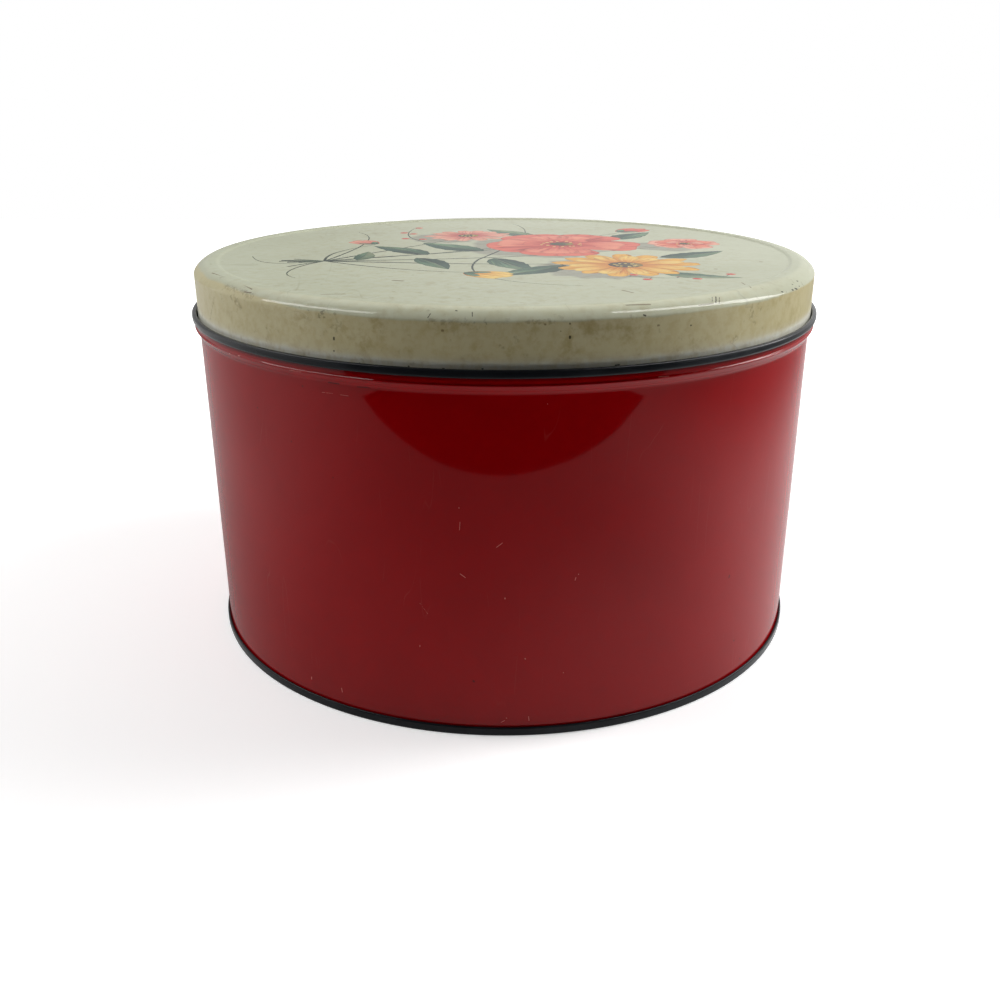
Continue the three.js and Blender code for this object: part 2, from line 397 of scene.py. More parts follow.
def on_wall(px, py):
    flare = SheetPath(BODY_RADIUS, FLARE_START, QUARTER)
    flare.jog(FLARE_HEIGHT, -FLARE_OUT, MARK_STEPS).to_height(RING_BOTTOM, MARK_STEPS)
    profile = [(radius + bead(height), height) for radius, height, _ in flare.stations[::-1]]
    return hit_profile(pixel_ray(px, py), profile + [(BODY_RADIUS, 0)])


def on_lid(px, py):
    """The point of the lid behind a pixel: on its skirt, its rounded shoulder or its top."""
    ray = pixel_ray(px, py)
    for height, edge in ((PANEL_TOP, PANEL_RADIUS), (LID_TOP, CROWN_START)):
        at = CAMERA_AT + ray * ((height - CAMERA_AT.z) / ray.z)
        if math.hypot(at.x, at.y) <= edge:
            return at
    shoulder = SheetPath(CROWN_START, LID_TOP, 0)
    shoulder.bend(CROWN_RADIUS, -CROWN_TURN, MARK_STEPS)
    shoulder.bend(SHOULDER_CORNER, -SHOULDER_CORNER_TURN, MARK_STEPS)
    return hit_profile(ray, [(radius, height) for radius, height, _ in shoulder.stations] + [(LID_RADIUS, 0)])


class Nodes:
    """Adds nodes to a tree, by short calls that take sockets or plain values."""

    def __init__(self, tree):
        self.tree = tree

    def node(self, kind, *values, **settings):
        made = self.tree.nodes.new("ShaderNode" + kind)
        for key, value in settings.items():
            setattr(made, key, value)
        for socket, value in zip(made.inputs, values):
            self.set(socket, value)
        return made

    def set(self, socket, value):
        if isinstance(value, bpy.types.NodeSocket):
            self.tree.links.new(value, socket)
        else:
            socket.default_value = value

    def fill(self, made, out=0, **values):
        """Sets the named sockets of a node, and returns one of its outputs."""
        for key, value in values.items():
            self.set(made.inputs[key.replace("_", " ")], value)
        return made.outputs[out]

    def math(self, operation, *values):
        return self.node("Math", *values, operation=operation).outputs[0]

    def vector(self, operation, *values, out=0):
        return self.node("VectorMath", *values, operation=operation).outputs[out]

    def plus(self, first, second):
        return self.math("ADD", first, second)

    def times(self, first, *others):
        for other in others:
            first = self.math("MULTIPLY", first, other)
        return first

    def ramp(self, value, low, high, out_low=0.0, out_high=1.0):
        return self.node("MapRange", value, low, high, out_low, out_high,
                         interpolation_type="SMOOTHSTEP").outputs["Result"]


class Shader(Nodes):
    """A material's nodes: values for its main shader, and noises over the piece's own position."""

    def __init__(self, name, **fixed):
        self.material = bpy.data.materials.new(name)
        self.material.use_nodes = True
        super().__init__(self.material.node_tree)
        self.drive(**fixed)
        self.position = self.node("TexCoord").outputs["Object"]

    def drive(self, **values):
        self.fill(self.tree.nodes["Principled BSDF"], **values)
        return self.material

    def mix(self, factor, first, second, blend="MIX"):
        made = self.node("Mix", data_type="RGBA", blend_type=blend, clamp_factor=True)
        return self.fill(made, "Result", Factor=factor, A=first, B=second)

    def lay(self, base, colour, *shares, blend="MIX"):
        """A colour laid over another one, by the product of some shares."""
        return self.mix(self.times(*shares), base, colour, blend)

    def stretched(self, x, y, z):
        return self.vector("MULTIPLY", self.position, (x, y, z))

    def noise(self, scale, detail=3.0, roughness=0.55, position=None):
        return self.fill(self.node("TexNoise"), Vector=position or self.position, Scale=scale,
                         Detail=detail, Roughness=roughness)

    def patches(self, scale, detail, roughness, low, high):
        return self.ramp(self.noise(scale, detail, roughness), low, high)

    def sway(self, noise, size):
        return self.times(self.math("SUBTRACT", noise, 0.5), size)

    def split(self, position=None):
        return self.node("SeparateXYZ", position or self.position).outputs

    def bump(self, height, strength, distance):
        return self.fill(self.node("Bump"), Height=height, Strength=strength, Distance=distance)


def srgb(red, green, blue):
    """A colour written in 0 to 255 steps of a screen, as the linear values that shaders take."""
    def linear(value):
        share = value / 255
        return share / 12.92 if share <= 0.04045 else ((share + 0.055) / 1.055) ** 2.4
    return (linear(red), linear(green), linear(blue), 1.0)


def stroke_group():
    """A mask of one scratch or chip: 1 on the line from Start, ragged at its edge."""
    group = bpy.data.node_groups.new("stroke", "ShaderNodeTree")
    for name, kind in (("Position", "Vector"), ("Start", "Vector"), ("Along", "Vector"),
                       ("Half Width", "Float"), ("Ragged", "Float")):
        group.interface.new_socket(name, in_out="INPUT", socket_type="NodeSocket" + kind)
    group.interface.new_socket("Mask", in_out="OUTPUT", socket_type="NodeSocketFloat")
    position, start, along, half_width, ragged = group.nodes.new("NodeGroupInput").outputs[:5]
    n = Nodes(group)
    offset = n.vector("SUBTRACT", position, start)
    reach = n.vector("DOT_PRODUCT", offset, along, out="Value")
    size = n.vector("DOT_PRODUCT", along, along, out="Value")
    share = n.math("MINIMUM", n.math("MAXIMUM", n.math("DIVIDE", reach, size), 0), 1)
    nearest = n.fill(n.node("VectorMath", along, operation="SCALE"), Scale=share)
    away = n.vector("LENGTH", n.vector("SUBTRACT", offset, nearest), out="Value")
    mask = n.ramp(n.math("SUBTRACT", away, ragged), n.times(half_width, 0.35), half_width, 1, 0)
    n.set(group.nodes.new("NodeGroupOutput").inputs["Mask"], mask)
    return group


STROKE = stroke_group()
SHORTEST_MARK = 0.05 * MM


def strokes(shader, marks, surface, grain=2600, sway=0.3 * MM):
    """The mask of a table of marks: each runs between two pixels of the photograph.

    Each mark joins the total at once, because a material can hold only so many open values.
    """
    ragged = shader.sway(shader.noise(grain, 3, 0.6), sway)
    total = None
    for x0, y0, x1, y1, half_width in marks:
        start, finish = surface(x0, y0), surface(x1, y1)
        if (finish - start).length < SHORTEST_MARK:
            finish = start + Vector((0, 0, SHORTEST_MARK))
        mask = shader.node("Group", shader.position, start, finish - start, half_width * MM, ragged,
                           node_tree=STROKE).outputs[0]
        total = mask if total is None else shader.math("MAXIMUM", total, mask)
    return total


def specks(shader, per_metre, share, radius):
    """Sparse round specks: only the given share of the cells of a Voronoi pattern has one."""
    cells = shader.node("TexVoronoi")
    distance = shader.fill(cells, "Distance", Vector=shader.position, Scale=per_metre)
    chosen = shader.split(cells.outputs["Color"])
    picked = shader.math("LESS_THAN", chosen[0], share)
    size = shader.times(shader.ramp(chosen[1], 0, 1, 0.4, 1), radius * per_metre)
    return shader.times(picked, shader.math("LESS_THAN", distance, size))


def hairlines(shader, per_metre, stretch, thickness, turn):
    """Fine scratches: the ridges of a stretched noise, turned out of the axes."""
    turned = shader.fill(shader.node("Mapping"), Vector=shader.position, Rotation=turn, Scale=stretch)
    field = shader.noise(per_metre, 1, 0.5, turned)
    ridge = shader.math("ABSOLUTE", shader.math("SUBTRACT", field, 0.5))
    return shader.times(shader.ramp(ridge, 0, thickness, 1, 0),
                        shader.patches(per_metre * 0.35, 3, 0.6, 0.52, 0.66))


# Materials: a noise takes its cells per metre, detail and roughness, and each colour is laid over
# the ones before it by a mask and the share that it reaches there

ENAMEL = {"Roughness": 0.5, "Specular_IOR_Level": 0.0, "Coat_IOR": 1.5}

# Painted shade under the ring, and the bands of the lid, as heights or as places to its left or right
UNDER_RING = (RING_BOTTOM - 1.4 * MM, RING_BOTTOM - 0.2 * MM)
TOP_COLOUR = (LID_TOP - 4.2 * MM, LID_TOP - 3.2 * MM)
LEFT_SHOULDER_SHADE = (-100 * MM, -45 * MM)
LIT_CREST_BAND = (CROWN_START, CROWN_START + 2 * MM)
RIGHT_END_SHADE = (60 * MM, 116 * MM)
FOOT_PAINT_AND_LIGHT = ((4.5 * MM, 0.4), (2.8 * MM, 0.85))
STAINED_SKIRT = (LID_TOP - 3 * MM, LID_TOP - 4.5 * MM)
CLEANER_ENDS = (70 * MM, 112 * MM)
WORN_EDGE_FOOT = (LID_TOP - 6.5 * MM, LID_TOP - 5 * MM)
WORN_EDGE_TOP = (LID_TOP - 3 * MM, LID_TOP - 2 * MM)


def tinplate():
    s = Shader("bare_tinplate", Metallic=1.0, Roughness=0.36)
    cloud = s.noise(14, 4, 0.6)
    base = s.mix(s.ramp(cloud, 0.3, 0.7), srgb(150, 147, 140), srgb(186, 184, 178))
    base = s.lay(base, srgb(96, 66, 44), s.patches(420, 3, 0.7, 0.69, 0.76), 0.6)
    grain = s.noise(900, 2, 0.5, s.stretched(1, 1, 0.06))
    return s.drive(Base_Color=base, Roughness=s.ramp(cloud, 0.25, 0.75, 0.3, 0.46),
                   Normal=s.bump(grain, 0.12, 0.0002))


def red_enamel():
    s = Shader("red_enamel", Coat_Weight=0.62, Coat_Roughness=0.045, **ENAMEL)
    base = s.mix(s.patches(22, 4, 0.6, 0.25, 0.75), (0.338, 0.0006, 0.0024, 1),
                 (0.376, 0.0012, 0.0032, 1))
    worn = hairlines(s, 110, (1, 1, 0.12), 0.006, (0.5, 0.2, 0.3))
    base = s.lay(base, srgb(205, 120, 112), worn, 0.1)
    dark = s.math("MAXIMUM", specks(s, 42, 0.09, 0.45 * MM), strokes(s, WALL_DARK_MARKS, on_wall))
    base = s.lay(base, srgb(44, 10, 12), dark, 0.75)
    # Light chips and specks, with some painted highlights on the flare's start
    light = s.math("MAXIMUM", specks(s, 36, 0.045, 0.3 * MM), strokes(s, WALL_CHIPS_AND_GLINTS, on_wall))
    base = s.lay(base, srgb(226, 128, 120), light, 0.8)
    # Painted shade: the wall darkened just under the ring, where the ring's overhang shades it
    under_ring_shade = s.ramp(s.split()[2], *UNDER_RING, 0, 0.6)
    base = s.lay(base, srgb(30, 6, 8), under_ring_shade)
    return s.drive(Base_Color=base, Normal=s.bump(s.noise(240, 2, 0.5), 0.05, 0.0004))


def black_lacquer():
    s = Shader("black_lacquer", Roughness=0.22, Specular_IOR_Level=0.2)
    worn = s.noise(60, 4, 0.6)
    base = s.mix(s.ramp(worn, 0.4, 0.75), (0.011, 0.0125, 0.0155, 1), (0.019, 0.0215, 0.026, 1))
    base = s.lay(base, srgb(120, 112, 104), specks(s, 110, 0.05, 0.3 * MM), 0.6)
    return s.drive(Base_Color=base, Roughness=s.ramp(worn, 0.3, 0.7, 0.16, 0.26),
                   Normal=s.bump(s.noise(120, 2, 0.5), 0.04, 0.0004))


def printed_colour(s):
    """The lid's print: the colour of each petal's or leaf's strokes and rim, and its cover."""
    ink, tip, brush, edge = [s.node("Attribute", attribute_name=name).outputs
                             for name in ("ink", "tip_ink", "brush", "edge")]
    along, across, seed = s.split(brush["Vector"])
    rim, softness, _ = s.split(edge["Vector"])
    fan = s.math("DIVIDE", across, s.plus(s.math("ABSOLUTE", along), 0.35))
    spot = s.node("CombineXYZ", s.times(fan, 3.2), s.times(along, 0.9), seed).outputs[0]
    streak = s.noise(1.7, 4, 0.62, spot)
    spread = s.plus(along, s.sway(streak, 1.5))
    colour = s.mix(s.ramp(spread, 0.12, 0.95), ink["Color"], tip["Color"])
    colour = s.lay(colour, srgb(244, 226, 178), s.ramp(streak, 0.56, 0.7), 0.34, blend="SOFT_LIGHT")
    colour = s.lay(colour, (0.3, 0.22, 0.2, 1), s.ramp(streak, 0.45, 0.3), 0.5, blend="MULTIPLY")
    hard = s.math("SUBTRACT", 1, softness)
    margin = s.ramp(rim, 0.0, 0.9, 1, 0)
    colour = s.lay(colour, (0.42, 0.3, 0.27, 1), margin, hard, 0.4, blend="MULTIPLY")
    soft = s.ramp(s.plus(rim, s.sway(s.noise(420), 0.5)), 0.0, 1.0)
    thin = s.ramp(s.noise(150, 4, 0.7), 0.66, 0.78, 1, 0.72)
    return colour, s.times(ink["Alpha"], s.math("MAXIMUM", hard, soft), thin)


def cream_enamel():
    s = Shader("cream_enamel", Coat_Weight=0.5, Coat_Roughness=0.055, **ENAMEL)
    x, y, z = s.split()
    cloud = s.patches(18, 4, 0.6, 0.3, 0.7)
    top = s.mix(cloud, (0.49, 0.51, 0.37, 1), (0.54, 0.565, 0.42, 1))
    side = s.mix(cloud, (0.64, 0.575, 0.34, 1), (0.68, 0.62, 0.38, 1))
    # Painted shade: the skirt laid darker towards its right end
    side = s.lay(side, (0.47, 0.41, 0.21, 1), s.ramp(x, *RIGHT_END_SHADE, 0, 0.55))
    waver = s.plus(z, s.sway(s.noise(60), 1.6 * MM))
    # Painted shade: on the left the skirt's tint is carried higher up the shoulder
    waver = s.plus(waver, s.ramp(x, *LEFT_SHOULDER_SHADE, -2.4 * MM, 0))
    above = s.ramp(waver, *TOP_COLOUR)
    ground = s.mix(above, side, top)
    # Painted light: the crest of the shoulder laid paler, most of all at the front
    away = s.vector("LENGTH", s.stretched(1, 1, 0), out="Value")
    painted_crest_light = s.ramp(away, *LIT_CREST_BAND)
    in_front = s.ramp(y, -100 * MM, -60 * MM, 0.6, 0.25)
    ground = s.lay(ground, (0.74, 0.74, 0.56, 1), painted_crest_light, above, in_front)
    # The skirt's foot laid paler, fainter towards the back: cleaner paint where the groove hides it, and
    # painted light just above the ring, where the ring shades it
    near = s.ramp(y, -30 * MM, 70 * MM, 1, 0.3)
    for low, share in FOOT_PAINT_AND_LIGHT:
        foot = s.ramp(z, RING_TOP + 0.6 * MM, RING_TOP + low, share, 0)
        ground = s.lay(ground, (0.86, 0.86, 0.76, 1), foot, near)
    colour, printed = printed_colour(s)
    base = s.mix(printed, ground, colour)
    skirt = s.times(s.ramp(z, *STAINED_SKIRT, 0.2, 0.4),
                    s.ramp(s.math("ABSOLUTE", x), *CLEANER_ENDS, 1, 0.35))
    for tint, stain, share in ((srgb(168, 142, 86), (75, 5, 0.7, 0.5, 0.75), skirt),
                               (srgb(226, 212, 178), (300, 4, 0.6, 0.36, 0.68), skirt),
                               (srgb(150, 132, 92), (240, 4, 0.7, 0.6, 0.74), 0.3)):
        base = s.lay(base, tint, s.patches(*stain), share, blend="MULTIPLY")
    worn = s.math("MAXIMUM", hairlines(s, 70, (1, 0.14, 1), 0.008, (0, 0, 0.7)),
                  hairlines(s, 85, (0.12, 1, 1), 0.008, (0, 0, 0.35)))
    base = s.lay(base, srgb(116, 110, 88), worn, 0.2)
    smear = strokes(s, LID_STAINS, on_lid, 700, 2.4 * MM)
    base = s.lay(base, srgb(104, 80, 44), smear, s.patches(800, 3, 0.6, 0.4, 0.62), 0.34)
    edge_wear = s.times(s.ramp(z, *WORN_EDGE_FOOT), s.ramp(z, *WORN_EDGE_TOP, 1, 0),
                        s.patches(420, 4, 0.7, 0.58, 0.7), s.patches(50, 2, 0.55, 0.45, 0.6))
    base = s.lay(base, srgb(72, 58, 40), edge_wear, 0.5)
    rust = s.math("MAXIMUM", specks(s, 120, 0.1, 0.42 * MM), strokes(s, LID_BROWN_MARKS, on_lid))
    base = s.lay(base, srgb(92, 66, 40), rust, 0.62)
    base = s.lay(base, srgb(42, 36, 30), strokes(s, LID_CHIPS, on_lid), 0.9)
    return s.drive(Base_Color=base, Normal=s.bump(s.noise(300, 3, 0.5), 0.06, 0.0004))


# Unevenness of the sheets: where it fades out towards the seams, the groove and the panel's rim
FOOT_FADE = (5 * MM, 12 * MM)
FLARE_FADE = 10 * MM
SKIRT_FADE = (4 * MM, 6 * MM)
PANEL_FADE = 12 * MM


def clamped(share):
    return min(1, max(0, share))


def wave(x, y, z, size):
    """A smooth random distance of about the given size in millimetres."""
    return noise.noise(Vector((x, y, z))) * size * MM


def wall_shape(r, h, azimuth, outer):
    """The rolled wall's slight unevenness, with the lock seam's fold and groove at the back."""
    x, y = math.sin(azimuth), -math.cos(azimuth)
    fade = clamped((h - FOOT_FADE[0]) / FOOT_FADE[1]) * clamped((FLARE_START - h) / FLARE_FADE)
    out = wave(x * 2.2, y * 2.2, h * 9, 0.16) + wave(x * 6, y * 6, h * 26 + 5, 0.035)
    radius = r + out * fade + bead(h)
    across = BODY_RADIUS * (azimuth - HALF)
    if LOCK_BOTTOM <= h <= LOCK_TOP and r < BODY_RADIUS + WALL_SLACK:
        if not outer and abs(across) <= LOCK_WIDTH / 2 + EDGE_SLACK:
            radius -= LOCK_DEPTH
        if outer and -EDGE_SLACK <= LOCK_WIDTH / 2 - across <= LOCK_GROOVE_WIDTH + EDGE_SLACK:
            radius -= LOCK_GROOVE_DEPTH
    return radius, h


def wall_azimuths():
    edges = []
    for at in (-LOCK_WIDTH / 2, LOCK_WIDTH / 2):
        outwards = math.copysign(LOCK_EDGE, at)
        edges += [at, at + outwards]
    groove = LOCK_WIDTH / 2 - LOCK_GROOVE_WIDTH
    edges += [groove, groove - LOCK_EDGE / 2]
    extra = [HALF + at / BODY_RADIUS for at in edges]
    clear = QUARTER / ROUND_STEPS
    plain = [a for a in even_azimuths() if all(abs(a - e) > clear for e in extra)]
    return sorted(plain + extra)


def make_wall():
    path = SheetPath(BASE_SEAM.hook_wall, BASE_SEAM.hook_tip, -QUARTER)
    path.to_height(BASE_SEAM.hook_fold_height)
    path.bend(BASE_SEAM.hook_fold, -HALF, FOLD_STEPS)
    path.to_height(LOCK_BOTTOM - LOCK_EDGE, 3).to_height(LOCK_BOTTOM)
    path.to_height(LOCK_TOP, WALL_STEPS).to_height(LOCK_TOP + LOCK_EDGE)
    path.to_height(FLARE_START)
    path.jog(FLARE_HEIGHT, -FLARE_OUT, FLARE_STEPS)
    path.to_height(RING_BOTTOM, BEAD_STEPS)
    path.to_height(RING_SEAM.hook_fold_height)
    path.bend(RING_SEAM.hook_fold, -HALF, FOLD_STEPS)
    path.to_height(RING_SEAM.hook_tip)
    return revolve("wall", path, BODY_SHEET, True, wall_azimuths(), wall_shape)


def make_bottom():
    middle = PANEL_HEIGHT + PANEL_STEP_DROP * len(PANEL_STEP_SHARES)
    path = SheetPath(0, middle, 0)
    for share in PANEL_STEP_SHARES:
        path.to_radius(BASE_SEAM.chuck_wall * share, 6)
        path.jog(PANEL_STEP_RUN, -PANEL_STEP_DROP, STEP_STEPS)
    path.to_radius(BASE_SEAM.chuck_wall - PANEL_CORNER, 3)
    path.bend(PANEL_CORNER, -QUARTER, CORNER_STEPS)
    return revolve("bottom", fold_over_body(path, BASE_SEAM), END_SHEET, True)


def make_ring():
    curl = (RIM_CURL - END_SHEET) / 2
    path = SheetPath(
        NECK_RADIUS - curl + curl * math.cos(CURL_TURN),
        RIM_TOP - RIM_CURL / 2 + curl * math.sin(CURL_TURN),
        CURL_TURN - QUARTER,
    )
    path.bend(curl, -CURL_TURN, CURL_STEPS)
    path.to_height(LEDGE_TOP - END_SHEET / 2 + LEDGE_CORNER, 6)
    path.bend(LEDGE_CORNER, QUARTER, CORNER_STEPS)
    path.to_radius(RING_SEAM.chuck_wall - LEDGE_CORNER)
    path.bend(LEDGE_CORNER, QUARTER, CORNER_STEPS)
    return revolve("ring", fold_over_body(path, RING_SEAM), END_SHEET, False)


# The lid's print: a loose spray of garden flowers, in millimetres from the lid's centre, with x
# to the right and y to the back. Shapes that come later lie over earlier ones.

INKS = {
    "coral": (srgb(176, 44, 40), srgb(222, 108, 88)),
    "coral_light": (srgb(200, 70, 58), srgb(232, 138, 112)),
    "amber": (srgb(196, 104, 30), srgb(232, 176, 74)),
    "amber_light": (srgb(214, 136, 44), srgb(240, 204, 112)),
    "pink": (srgb(200, 96, 88), srgb(234, 168, 146)),
    "leaf_dark": (srgb(30, 62, 52), srgb(62, 98, 82)),
    "leaf_light": (srgb(56, 92, 74), srgb(112, 142, 112)),
    "sage": (srgb(96, 122, 96), srgb(150, 168, 134)),
    "stem": (srgb(52, 70, 58), srgb(92, 110, 86)),
    "heart": (srgb(70, 58, 32), srgb(150, 128, 54)),
    "dot": (srgb(236, 208, 120), srgb(240, 220, 150)),
    "shadow": (srgb(158, 158, 142), srgb(176, 176, 158)),
}
SHADOW_SHIFT = (-9, -8)
GATHER = (-68, -24)
PRINT_GRID = 4.0
ROW_SHARE = 0.866

Print = namedtuple("Print", "outline ink base heading length width rim soft seed")
hand = random.Random(5)


def place(points, base, heading):
    cos, sin = math.cos(heading), math.sin(heading)
    return [(base[0] + x * cos - y * sin, base[1] + x * sin + y * cos) for x, y in points]


def counter_clockwise(outline):
    area = sum(x0 * y1 - x1 * y0 for (x0, y0), (x1, y1) in zip(outline, outline[1:] + outline[:1]))
    return outline if area > 0 else outline[::-1]


def add_print(sheet, points, ink, base, heading, length, width, rim=1.4, soft=0.0):
    outline = counter_clockwise(place(points, base, heading))
    seed = hand.uniform(0, 40)
    sheet.append(Print(outline, ink, base, heading, length, width, rim, soft, seed))


def petal_points(length, width, waist=0.55, notch=0.0, ruffle=0.05, count=26):
    """A rounded petal from its narrow base at the origin to its tip on the X axis."""
    phase = hand.uniform(0, 6)
    points = []
    for step in range(count):
        t = 2 * HALF * step / count
        along = length * (1 - math.cos(t)) / 2
        along -= notch * length * math.exp(-((t - HALF) / 0.4) ** 2)
        swell = 1 - waist + waist * along / length
        wave = 1 + ruffle * math.sin(5 * t + phase)
        points.append((along * (1 + ruffle * 0.4 * math.sin(7 * t + phase)),
                       width * math.sin(t) * swell * wave / 2))
    return points


def polar(centre, reach, angle):
    return centre[0] + reach * math.cos(angle), centre[1] + reach * math.sin(angle)


def add_petals(sheet, centre, radius, count, width, ink, turn=0.0, start=0.1, notch=0.0, waist=0.55):
    for index in range(count):
        heading = turn + 2 * HALF * (index + hand.uniform(-0.12, 0.12)) / count
        length = radius * (1 - start) * hand.uniform(0.92, 1.06)
        breadth = width * hand.uniform(0.92, 1.08)
        points = petal_points(length, breadth, waist, notch)
        add_print(sheet, points, ink, polar(centre, radius * start, heading), heading, length, breadth)


def add_disc(sheet, centre, radius, ink, count=14):
    points = [polar((0, 0), radius, 2 * HALF * k / count) for k in range(count)]
    add_print(sheet, points, ink, centre, 0, radius, 2 * radius, rim=radius * 0.3)


def add_stamens(sheet, centre, radius, count, size):
    for index in range(count):
        angle = 2 * HALF * (index + hand.uniform(-0.3, 0.3)) / count
        spot = polar(centre, radius * hand.uniform(0.75, 1.1), angle)
        add_disc(sheet, spot, size * hand.uniform(0.8, 1.2), "dot", count=7)


def add_leaf(sheet, base, heading, length, width, bend=0.15, inks=("leaf_dark", "leaf_light"), count=12):
    """A lance-shaped leaf in two halves that meet at a curved midrib."""
    for side, ink in zip((1, -1), inks):
        midrib = []
        margin = []
        for step in range(count + 1):
            share = step / count
            lift = bend * length * share * share
            half = width / 2 * math.sin(HALF * share ** 0.8) ** 0.9 * (1 + 0.05 * math.sin(34 * share))
            midrib.append((length * share, lift))
            margin.append((length * share, lift + side * half))
        points = midrib + margin[-2:0:-1]
        add_print(sheet, points, ink, base, heading, length, width)
    middle = bend * length * 0.25
    vein = [(length * 0.04, -0.25), (length * 0.5, middle - 0.3), (length * 0.93, bend * length * 0.865),
            (length * 0.5, middle + 0.3), (length * 0.04, 0.25)]
    add_print(sheet, vein, "sage", base, heading, length, width, rim=0.4)


def on_curve(start, pull, finish, t):
    return [(1 - t) ** 2 * a + 2 * t * (1 - t) * b + t * t * c for a, b, c in zip(start, pull, finish)]


def add_stem(sheet, start, pull, finish, width, tip_width=0.5, ink="stem", count=16):
    """A ribbon along one curve from start to finish, drawn towards the point "pull"."""
    left = []
    right = []
    for step in range(count + 1):
        t = step / count
        x, y = on_curve(start, pull, finish, t)
        dx, dy = [(1 - t) * (b - a) + t * (c - b) for a, b, c in zip(start, pull, finish)]
        size = math.hypot(dx, dy) or 1
        half = (width + (tip_width - width) * t) / 2
        left.append((x - dy / size * half, y + dx / size * half))
        right.append((x + dy / size * half, y - dx / size * half))
    length = math.hypot(finish[0] - start[0], finish[1] - start[1])
    heading = math.atan2(finish[1] - start[1], finish[0] - start[0])
    outline = counter_clockwise(left + right[::-1])
    sheet.append(Print(outline, ink, start, heading, length, length, width * 0.3, 0.0,
                       hand.uniform(0, 40)))


def add_blot(sheet, centre, radius, lobes, count=60):
    """The soft grey shadow of a flower: a round outline with a lobe for each petal."""
    angles = [2 * HALF * step / count for step in range(count)]
    points = [polar((0, 0), radius * (0.93 + 0.07 * math.cos(lobes * angle)), angle) for angle in angles]
    spot = (centre[0] + SHADOW_SHIFT[0], centre[1] + SHADOW_SHIFT[1])
    add_print(sheet, points, "shadow", spot, 0, radius, 2 * radius, rim=3, soft=1)


def add_poppy(sheet, centre, radius, turn, inks=("coral", "coral_light")):
    add_petals(sheet, centre, radius, 5, radius * 1.12, inks[0], turn, notch=0.05)
    add_petals(sheet, centre, radius * 0.8, 4, radius * 0.98, inks[1], turn + 0.5, notch=0.04)
    add_petals(sheet, centre, radius * 0.5, 3, radius * 0.6, inks[0], turn + 0.2)
    add_disc(sheet, centre, radius * 0.15, "heart")
    add_stamens(sheet, centre, radius * 0.24, 15, radius * 0.022)


def add_daisy(sheet, centre, radius, turn, inks=("amber", "amber_light")):
    add_petals(sheet, centre, radius, 13, radius * 0.42, inks[0], turn, start=0.16, waist=0.6)
    add_petals(sheet, centre, radius * 0.84, 11, radius * 0.36, inks[1], turn + 0.2, start=0.16, waist=0.6)
    add_disc(sheet, centre, radius * 0.24, "heart", count=20)
    add_stamens(sheet, centre, radius * 0.15, 9, radius * 0.03)


def add_bud(sheet, base, heading, length, ink):
    for lean, share in ((-0.28, 0.92), (0.28, 0.92), (0, 1)):
        points = petal_points(length * share, length * 0.5, waist=0.1)
        add_print(sheet, points, ink, base, heading + lean, length * share, length * 0.5)
    for lean in (-0.55, 0.55):
        points = petal_points(length * 0.5, length * 0.22, waist=0.1)
        add_print(sheet, points, "leaf_light", base, heading + lean, length * 0.5, length * 0.22)


def add_berries(sheet, start, pull, finish, size):
    add_stem(sheet, start, pull, finish, 0.9, 0.4)
    for step in range(1, 6):
        x, y = on_curve(start, pull, finish, 0.35 + 0.13 * step)
        side = 3.4 if step % 2 else -3.4
        berry = (x + side * 0.6, y + side)
        add_stem(sheet, (x, y), (x + side * 0.2, y + side * 0.4), berry, 0.5, 0.4, count=4)
        add_disc(sheet, berry, size, "coral_light", count=10)


